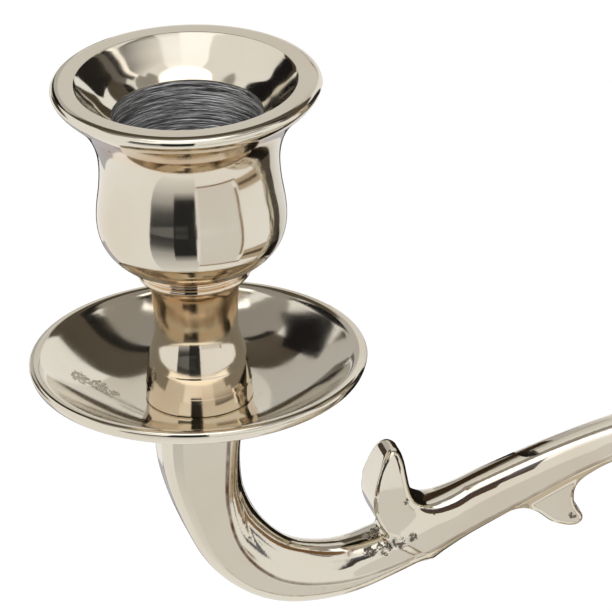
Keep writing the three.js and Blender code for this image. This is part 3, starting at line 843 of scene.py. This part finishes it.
def shaft_outline(height):
    ring_r = SHAFT_R * 0.72
    top_r = SHAFT_R * 0.76
    return np.vstack([
        [(ROD_HOLE_R, 0), (ring_r - 0.2, 0), (ring_r, 0.2), (ring_r, 1.8), (ring_r - 0.2, 2)],
        run([(SHAFT_R * 0.62, height * 0.075), (SHAFT_R * 0.66, height * 0.11), (SHAFT_R * 0.9, height * 0.2),
             (SHAFT_R, height * 0.33), (SHAFT_R * 0.78, height * 0.56), (SHAFT_R * 0.57, height * 0.8),
             (SHAFT_R * 0.62, height * 0.92), (top_r - 0.2, height * 0.95)], 8),
        [(top_r, height * 0.95 + 0.2), (top_r, height - 0.2), (top_r - 0.2, height), (ROD_HOLE_R, height),
         (ROD_HOLE_R, 0)]])


def column_outline(height):
    ring_r = COLUMN_R * 0.86
    hole_foot = height - STUD_HOLE_DEPTH
    return np.vstack([
        [(0, ROD_HOLE_DEPTH), (ROD_HOLE_R, ROD_HOLE_DEPTH), (ROD_HOLE_R, 0), (ring_r - 0.2, 0),
         (ring_r, 0.2), (ring_r, 1.6), (ring_r - 0.2, 1.8)],
        run([(COLUMN_R * 0.66, height * 0.05), (COLUMN_R * 0.69, height * 0.09),
             (COLUMN_R * 0.92, height * 0.17), (COLUMN_R, height * 0.3), (COLUMN_R * 0.76, height * 0.52),
             (COLUMN_R * 0.56, height * 0.8), (PAN_FOOT_R * 0.94, height - 1.5),
             (PAN_FOOT_R, height - 0.3)], 8),
        [(PAN_FOOT_R - 0.1, height), (STUD_HOLE_R, height), (STUD_HOLE_R, hole_foot), (0, hole_foot)]])


def base_outline(height):
    seat = height * 0.55
    wall = BASE_R - BASE_WALL
    return np.vstack([
        [(ROD_HOLE_R, seat), (BASE_SEAT_R, seat)],
        run([(BASE_SEAT_R, seat), (BASE_TOP_R + 7, seat * 0.72), (BASE_R * 0.66, BASE_EDGE + 1),
             (wall - 3, BASE_EDGE - 1.6)], 8),
        [(wall - 1, 0), (BASE_R - 1.2, 0)],
        run([(BASE_R - 1, 0.02), (BASE_R - 0.3, BASE_EDGE * 0.12), (BASE_R, BASE_EDGE * 0.5),
             (BASE_R - 0.3, BASE_EDGE * 0.88), (BASE_R - 1, BASE_EDGE)], 6, 1),
        run([(BASE_R - 1.6, BASE_EDGE + 0.3), (BASE_R - 3, BASE_EDGE + 0.6)], 2, 0),
        run([(BASE_R - 3.1, BASE_EDGE + 0.9), (BASE_R * 0.83, BASE_EDGE + 3.4),
             (BASE_R * 0.62, height * 0.36), (BASE_R * 0.42, height * 0.6),
             (BASE_TOP_R + 1.5, height - 3), (BASE_TOP_R + 0.2, height - 2.3)], 10),
        [(BASE_TOP_R, height - 2.1), (BASE_TOP_R, height - 0.25), (BASE_TOP_R - 0.25, height),
         (ROD_HOLE_R, height), (ROD_HOLE_R, seat)]])


def make_stem_piece(node_name, outline_of, skin, sides=128):
    """A turned piece from its foot up, as high as the frame's."""
    low, high = box_mm(node_name)
    place = place_of(node_name, at_top=False)
    piece = turned(f"{node_name}_turned", outline_of(high[2] - low[2]), place, sides)
    piece.data.materials.append(skin)
    stand_for(piece, "root", node_name)


def dress_node(name, skin, round_edge=0.0):
    """A frame node that stays, with its finish and a small round on its edges."""
    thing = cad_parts[name]
    thing.data.materials.clear()
    thing.data.materials.append(skin)
    if round_edge:
        edge = thing.modifiers.new("round_edge", "BEVEL")
        edge.width = round_edge * MM
        edge.segments = 3
        edge.limit_method = "ANGLE"
        edge.angle_limit = math.radians(40)
        edge.harden_normals = True
    for face in thing.data.polygons:
        face.use_smooth = True


# The stand

# Pits and scuffs of the left light: a place and a reach in millimetres
PAN_MARKS = [((-122.4, 6.1, 154.0), 3.6), ((-119.8, 5.0, 152.6), 3.6), ((-118.2, 3.0, 152.0), 2.8)]
ARM_MARKS = [((-99.5, -4.1, 130.5), 1.3), ((-98.7, -4.2, 127.6), 1.5), ((-97.4, -4.0, 126.3), 1.2),
             ((-80.0, -3.4, 121.8), 2.2), ((-77.8, -3.7, 122.2), 2.6), ((-75.5, -4.2, 123.0), 2.2),
             ((-73.3, -4.6, 123.8), 1.6), ((-79.2, -1.2, 124.4), 3.4), ((-74.0, -4.0, 129.8), 1.3),
             ((-47.2, -3.1, 122.4), 1.5)]

cup_nickel = nickel("cup_nickel", wave=0.7, copper_reflection=True)
pan_nickel = nickel("pan_nickel", wave=0.9, rough=0.085, marks=PAN_MARKS, dirt=0.05)
arm_nickel = nickel("arm_nickel", wave=1.6, rough=0.07, seam=True, marks=ARM_MARKS)
stem_nickel = nickel("stem_nickel", wave=0.9)
bore_metal = bored_metal("bore_metal")
steel = zinc_steel("zinc_steel_skin")
felt_skin = felt("felt_skin")

for side_name in ("left", "centre", "right"):
    make_cup(side_name, cup_nickel, bore_metal)
    make_pan(side_name, pan_nickel)
    make_stud(side_name, steel)

QUAD_SIZE = 0.32  # millimetres
make_arm("left", 0, arm_nickel, QUAD_SIZE)
make_arm("right", math.pi, arm_nickel, QUAD_SIZE)

make_stem_piece("stem_foot", foot_outline, stem_nickel)
make_stem_piece("stem_knop", knop_outline, stem_nickel)
make_stem_piece("stem_shaft", shaft_outline, stem_nickel)
make_stem_piece("stem_column", column_outline, stem_nickel)
make_stem_piece("base_shell", base_outline, stem_nickel, 192)
dress_node("arm_hub", stem_nickel, 0.15)
dress_node("base_felt", felt_skin, 0.3)
for part in ("base_washer", "base_nut", "tie_rod", "left_arm_screw", "right_arm_screw"):
    dress_node(part, steel)


# Studio

def direction(azimuth, elevation):
    """Azimuth 0 is in front of the stand, towards -Y, and 90 is on its right."""
    a, e = math.radians(azimuth), math.radians(elevation)
    return Vector((math.sin(a) * math.cos(e), -math.cos(a) * math.cos(e), math.sin(e)))


# Places in metres, in the left cup and on the right of its drip pan
STUDIO_CENTRE = Vector((-0.105, 0, 0.18))
PAN_RIGHT = Vector((-0.087, 0.008, 0.154))


def glow_material(name, low, high):
    """Plain light, from one colour at the card's foot to another at its top."""
    material = bpy.data.materials.new(name)
    tree = clear_tree(material)
    place = node(tree, "ShaderNodeTexCoord").outputs["Generated"]
    rise = node(tree, "ShaderNodeSeparateXYZ", {0: place}).outputs[2]
    colour = mix_colour(tree, rise, (*low, 1), (*high, 1))
    glow = node(tree, "ShaderNodeEmission", {"Color": colour})
    node(tree, "ShaderNodeOutputMaterial", {"Surface": glow.outputs[0]})
    return material


def hang(name, place_at, low, high):
    """A curved card that only polished metal sees. place_at turns two shares, along and up, into a
    place in metres."""
    steps = 12
    places = [place_at(i / steps, j / steps) for i in range(steps + 1) for j in range(steps + 1)]
    faces = []
    for i in range(steps):
        for j in range(steps):
            k = i * (steps + 1) + j
            faces.append((k, k + 1, k + steps + 2, k + steps + 1))
    mesh = bpy.data.meshes.new(name)
    mesh.from_pydata(places, [], faces)
    thing = add_object(name, mesh)
    mesh.materials.append(glow_material(name, low, high))
    thing.visible_camera = thing.visible_diffuse = thing.visible_shadow = False


def between(ends, share):
    return ends[0] * (1 - share) + ends[1] * share


def span(left, right, low, high):
    return [(left, low), (right, low), (right, high), (left, high)]


def card(name, corners, colour, reach=1.8, top=None, origin=STUDIO_CENTRE):
    """A card between four directions from the left light, each an azimuth and an elevation."""
    corners = np.array(corners, float)

    def place_at(u, v):
        low = between((corners[0], corners[1]), u)
        high = between((corners[3], corners[2]), u)
        return origin + reach * direction(*between((low, high), v))

    hang(name, place_at, colour, top or colour)


def panel(name, azimuths, heights, low, high, radius=0.12):
    """An upright grey card close in front of the left light: azimuths in degrees, heights in metres."""

    def place_at(u, v):
        away = radius * direction(between(azimuths, u), 0)
        return Vector((STUDIO_CENTRE.x + away.x, away.y, between(heights, v)))

    hang(name, place_at, (low,) * 3, (high,) * 3)


def bar(name, across, heights, low, high, out):
    """An upright card before or behind the arm, between two places across and two heights in metres."""
    hang(name, lambda u, v: Vector((between(across, u), out, between(heights, v))), low, high)


def side_card(name, x, across, heights, low, high):
    """An upright card on the right of the scroll, which faces it."""
    hang(name, lambda u, v: Vector((x, between(across, u), between(heights, v))), low, high)


# Colours that are used twice
WALL_BROWN = (0.080, 0.065, 0.047)
WALL_BROWN_TOP = (0.125, 0.108, 0.086)
OVAL_DARK = (0.018, 0.016, 0.014)
ARCH_BROWN = (0.10, 0.06, 0.035)
SCROLL_BLACK = (0.012, 0.010, 0.008)

# Behind the stand, above the table
card("high_grey", span(60, 254, 53, 84), (0.37, 0.355, 0.335), 2.1, (0.34, 0.325, 0.305))
card("back_brown", [(96, 24), (165, 38), (165, 63), (96, 54)], WALL_BROWN, 2.0, WALL_BROWN_TOP)
card("back_brown_left", [(165, 38), (204, 36), (216, 58), (165, 63)], WALL_BROWN, 2.0, WALL_BROWN_TOP)
card("oval_edge", [(97, 43), (160, 59), (160, 64), (97, 52)], OVAL_DARK, 1.85)
card("oval_edge_left", [(198, 60), (216, 54), (216, 58), (198, 64)], OVAL_DARK, 1.85)
card("right_dark", [(88, -14), (131, -16), (125, 20), (95, 34)], (0.022, 0.019, 0.017))
card("back_mid", span(145, 174, 5, 40), (0.90, 0.89, 0.88), 2.05, (0.70, 0.68, 0.65))
card("back_mid_left", span(174, 204, 5, 40), (0.56, 0.55, 0.54), 2.07, (0.58, 0.565, 0.55))
card("table_edge", span(146, 165, 19.6, 20.8), (0.10, 0.085, 0.075), 1.9)
card("table_edge_low", span(157, 169, 16.0, 17.0), (0.12, 0.10, 0.09), 1.9)
card("table_edge_left", span(171, 190, 3, 9), (0.09, 0.08, 0.07), 1.9, (0.22, 0.20, 0.18))
card("left_brown", [(199, 2), (236, 2), (226, 19), (204, 24)], (0.075, 0.058, 0.042), 1.87)
card("left_dark", [(198, 27), (221, 34), (234, 56), (205, 47)], (0.012, 0.011, 0.012), 0.14,
     origin=PAN_RIGHT)
card("overhead", span(-110, 80, 69, 89), (2.0, 2.0, 2.03), 1.9)
card("funnel_grey", [(73, 43), (73, 60), (22, 60), (22, 43)], (0.12, 0.11, 0.105), 1.9, (1.0, 0.99, 0.99))
card("funnel_line", span(73, 79, 34, 54), (1.5, 1.45, 1.4))
card("funnel_dark", span(79, 87, 28, 52), (0.035, 0.028, 0.028))
card("funnel_side", span(87, 97, 20, 46), (0.11, 0.105, 0.095), 1.82, (0.20, 0.185, 0.17))
card("top_glow", span(-54, -8, 49, 70), (1.45, 1.46, 1.52), 1.95)
card("top_fade", [(24, 49), (24, 70), (-8, 70), (-8, 49)], (1.0, 1.0, 1.02), 1.95, (1.45, 1.46, 1.52))
card("front_glow", span(-62, -9, 27, 49), (1.25, 1.25, 1.27), 1.75)

# Behind and beside the stand, towards the table
card("right_low", span(98, 131, -50, -16), (0.10, 0.08, 0.06), 1.9, (0.09, 0.075, 0.06))
card("right_low_dark", span(112, 121, -33, -23), (0.035, 0.03, 0.026))
card("right_lavender", span(131, 150, -60, -28), (0.44, 0.43, 0.45), 1.9)
card("back_line", span(148, 184, -31, -19), (0.05, 0.045, 0.045), 1.9)
card("back_lavender", span(150, 205, -48, -31), (0.52, 0.51, 0.55), 1.95)

# Beside it on the right
card("right_brown", span(52, 92, -46, -31), (0.52, 0.43, 0.33), 1.9)
card("right_brown_line", span(54, 88, -40, -36), (0.13, 0.09, 0.06))
card("right_line", span(46, 49.5, -36, -8), (0.34, 0.24, 0.16))
card("right_panel", span(-5, 46, -46, -9), (0.82, 0.81, 0.80), 1.9)
card("right_panel_line", span(-6, 54, -48.5, -46), (0.34, 0.25, 0.17))

# In front of it
card("front_far", span(-62, -8, -12, 26), (0.05, 0.045, 0.042), 1.7, (0.12, 0.11, 0.10))
panel("front_top", (-62, -30), (0.165, 0.172), 0.17, 0.19)
panel("front_bar", (-62, -30), (0.152, 0.165), 0.11, 0.045)
panel("front_mid", (-62, -30), (0.135, 0.152), 0.45, 0.13)
panel("front_low", (-62, -30), (0.100, 0.135), 0.70, 0.45)
panel("front_fade", (-62, -7), (0.040, 0.100), 0.84, 0.70)
panel("front_foot", (-62, -7), (-0.050, 0.040), 0.97, 0.84)
panel("front_core_fade", (-34, -9), (0.100, 0.130), 0.70, 0.06, 0.119)
panel("front_core", (-34, -9), (0.130, 0.270), 0.030, 0.012, 0.119)
panel("front_core_high", (-34, -9), (0.202, 0.244), 0.020, 0.014, 0.075)
panel("front_core_bar", (-32, -18), (0.1655, 0.1695), 0.08, 0.06, 0.117)

# Close before and behind the arm, and on the right of the scroll
bar("arch_dark_left", (-0.0705, -0.060), (0.1335, 0.1475), ARCH_BROWN, (0.06, 0.06, 0.09), -0.0105)
bar("arch_dark", (-0.060, -0.0535), (0.1365, 0.150), ARCH_BROWN, (0.20, 0.23, 0.32), -0.0105)
bar("arch_back_bright", (-0.078, -0.035), (0.151, 0.190), (0.75, 0.74, 0.72), (1.0, 1.0, 1.0), 0.02)
bar("arch_back_line", (-0.078, -0.050), (0.138, 0.147), (0.05, 0.03, 0.015), (0.04, 0.026, 0.014), 0.02)
bar("scroll_dark", (-0.0836, -0.0798), (0.1222, 0.1264), (0.035, 0.020, 0.016), (0.16, 0.17, 0.22), -0.0125)
side_card("scroll_black", -0.055, (0.002, 0.045), (0.080, 0.150), SCROLL_BLACK, SCROLL_BLACK)
side_card("scroll_copper", -0.0835, (-0.0080, -0.0045), (0.1245, 0.1340), (0.30, 0.19, 0.10),
          (0.15, 0.06, 0.02))


# Lamps, air and floor

def lamp(name, azimuth, elevation, distance, width, height, glow, colour=(1, 1, 1)):
    """A soft box that looks at the stand and that no metal mirrors. With a glow of 1 it is white."""
    light = bpy.data.lights.new(name, "AREA")
    light.shape = "RECTANGLE"
    light.size = width
    light.size_y = height
    light.energy = glow * math.pi * width * height
    light.color = colour
    thing = add_object(name, light)
    away = direction(azimuth, elevation)
    thing.location = STUDIO_CENTRE + distance * away
    thing.rotation_mode = "QUATERNION"
    thing.rotation_quaternion = away.to_track_quat("Z", "Y")
    thing.visible_glossy = False


lamp("key_box", -22, 60, 1.3, 0.85, 0.42, 2.0, (1.0, 0.985, 0.96))
lamp("side_box", 40, 38, 1.5, 0.25, 0.7, 1.6)
lamp("rear_box", 190, 48, 1.6, 0.9, 0.35, 1.5)

AIR_LIGHT = 0.72  # what the white air gives as light, where 1 is what it looks like
FLOOR_GREY = (0.88, 0.88, 0.88, 1)
FLOOR_LIFT = 0.30  # added to the floor's look, so that it is as white as the air
FLOOR_REACH = 6.0  # metres


def looked_at(tree):
    """1 for what is seen straight, in a mirror or through glass, 0 for what only gives light."""
    path = node(tree, "ShaderNodeLightPath")
    seen = math_node(tree, "ADD", path.outputs["Is Camera Ray"], path.outputs["Is Glossy Ray"])
    return math_node(tree, "ADD", seen, path.outputs["Is Transmission Ray"], clamp=True)


def make_world():
    world = bpy.data.worlds.new("studio_air")
    bpy.context.scene.world = world
    tree = clear_tree(world)
    strength = remap(tree, looked_at(tree), 0, 1, AIR_LIGHT, 1.0)
    air = node(tree, "ShaderNodeBackground", {"Color": (1, 1, 1, 1), "Strength": strength})
    node(tree, "ShaderNodeOutputWorld", {"Surface": air.outputs[0]})


def floor_material():
    material = bpy.data.materials.new("pale_floor")
    tree = clear_tree(material)
    paper = node(tree, "ShaderNodeBsdfDiffuse", {"Color": FLOOR_GREY})
    lift = node(tree, "ShaderNodeEmission", {
        "Color": (1, 1, 1, 1), "Strength": math_node(tree, "MULTIPLY", looked_at(tree), FLOOR_LIFT),
    })
    total = node(tree, "ShaderNodeAddShader", {0: paper.outputs[0], 1: lift.outputs[0]})
    node(tree, "ShaderNodeOutputMaterial", {"Surface": total.outputs[0]})
    return material


def make_floor():
    sides = 96
    angles = [2 * math.pi * i / sides for i in range(sides)]
    corners = [(FLOOR_REACH * math.cos(angle), FLOOR_REACH * math.sin(angle), 0) for angle in angles]
    mesh = bpy.data.meshes.new("floor")
    mesh.from_pydata(corners, [], [tuple(range(sides))])
    mesh.materials.append(floor_material())
    floor = add_object("floor", mesh)
    floor.visible_glossy = False


make_world()
make_floor()


# Camera

# Where the photograph was taken from, in degrees and millimetres
CAMERA_ELEVATION = 27.0
CAMERA_AZIMUTH = -14
CAMERA_ROLL = 2.25
CAMERA_DISTANCE = 1500
PIXELS_PER_MM = 6.65
FRAME_PIXELS = 612
RIM_PIXEL = (185.6, 80.4)  # the middle of the left cup's rim in the photograph
SENSOR = 36


def make_camera():
    """Aims the camera so that the left cup's rim falls where the photograph has it."""
    elevation = math.radians(CAMERA_ELEVATION)
    azimuth = math.radians(CAMERA_AZIMUTH)
    roll = math.radians(CAMERA_ROLL)
    right = Vector((math.cos(azimuth), math.sin(azimuth), 0))
    forward = Vector((-math.sin(azimuth) * math.cos(elevation), math.cos(azimuth) * math.cos(elevation),
                      -math.sin(elevation)))
    up = right.cross(forward)
    dx = RIM_PIXEL[0] - FRAME_PIXELS / 2
    dy = RIM_PIXEL[1] - FRAME_PIXELS / 2
    across = (math.cos(roll) * dx - math.sin(roll) * dy) / PIXELS_PER_MM
    down = (math.sin(roll) * dx + math.cos(roll) * dy) / PIXELS_PER_MM
    rim = Vector(place_of("left_cup", at_top=True))
    target = rim - across * right + down * up
    data = bpy.data.cameras.new("camera")
    data.sensor_width = SENSOR
    data.lens = PIXELS_PER_MM * CAMERA_DISTANCE / FRAME_PIXELS * SENSOR
    data.clip_start = 0.1
    data.clip_end = 50
    camera = add_object("camera", data)
    picture_right = math.cos(roll) * right - math.sin(roll) * up
    picture_up = math.sin(roll) * right + math.cos(roll) * up
    turn = Matrix((picture_right, picture_up, -forward)).transposed().to_4x4()
    camera.matrix_world = Matrix.Translation((target - CAMERA_DISTANCE * forward) * MM) @ turn
    bpy.context.scene.camera = camera


make_camera()
bpy.context.scene.view_settings.view_transform = "Standard"
